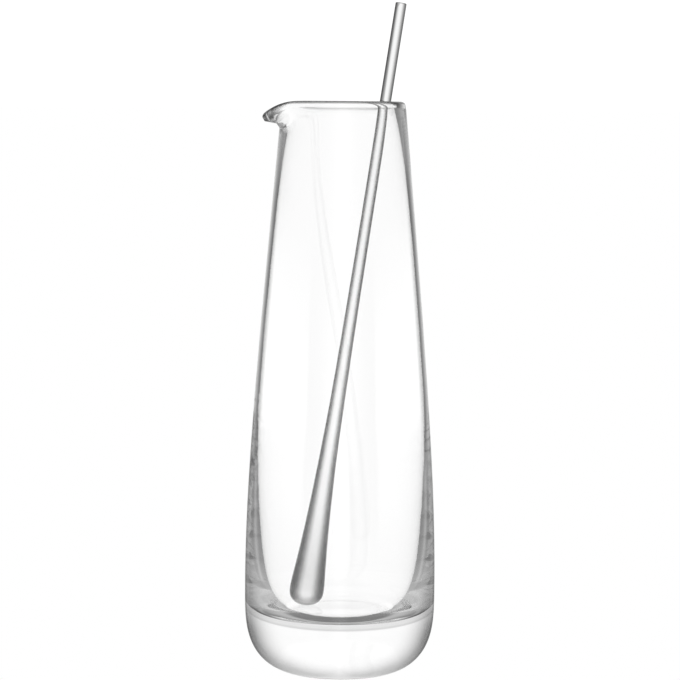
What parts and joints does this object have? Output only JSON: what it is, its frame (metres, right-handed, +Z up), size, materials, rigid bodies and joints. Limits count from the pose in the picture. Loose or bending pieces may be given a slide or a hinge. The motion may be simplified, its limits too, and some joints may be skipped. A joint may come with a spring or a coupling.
{
  "type": "cocktail pitcher",
  "caption": "Tall clear glass pitcher with a thick solid base, drawn-in wall and pulled pouring spout, with a loose glass stirrer leaning in it.",
  "frame": {"origin": "centre of the pitcher's flat foot, on the surface it stands on", "axes": "+Z up along the pitcher's axis, the spout points along -X, the picture looks along +Y"},
  "size_m": [0.1004, 0.1004, 0.3518],
  "materials": {
    "pitcher_glass": "clear, fire-polished",
    "stirrer_glass": "clear, fire-polished"
  },
  "bodies": {
    "pitcher": {"pitcher": "pitcher_glass"},
    "stirrer": {"stirrer": "stirrer_glass"}
  },
  "joints": [
    {"name": "stirrer_lift", "type": "slide", "parent": "pitcher", "child": "stirrer", "axis": [0.0749, 0.031, 0.9967], "range_m": [0, 0.285]}
  ]
}
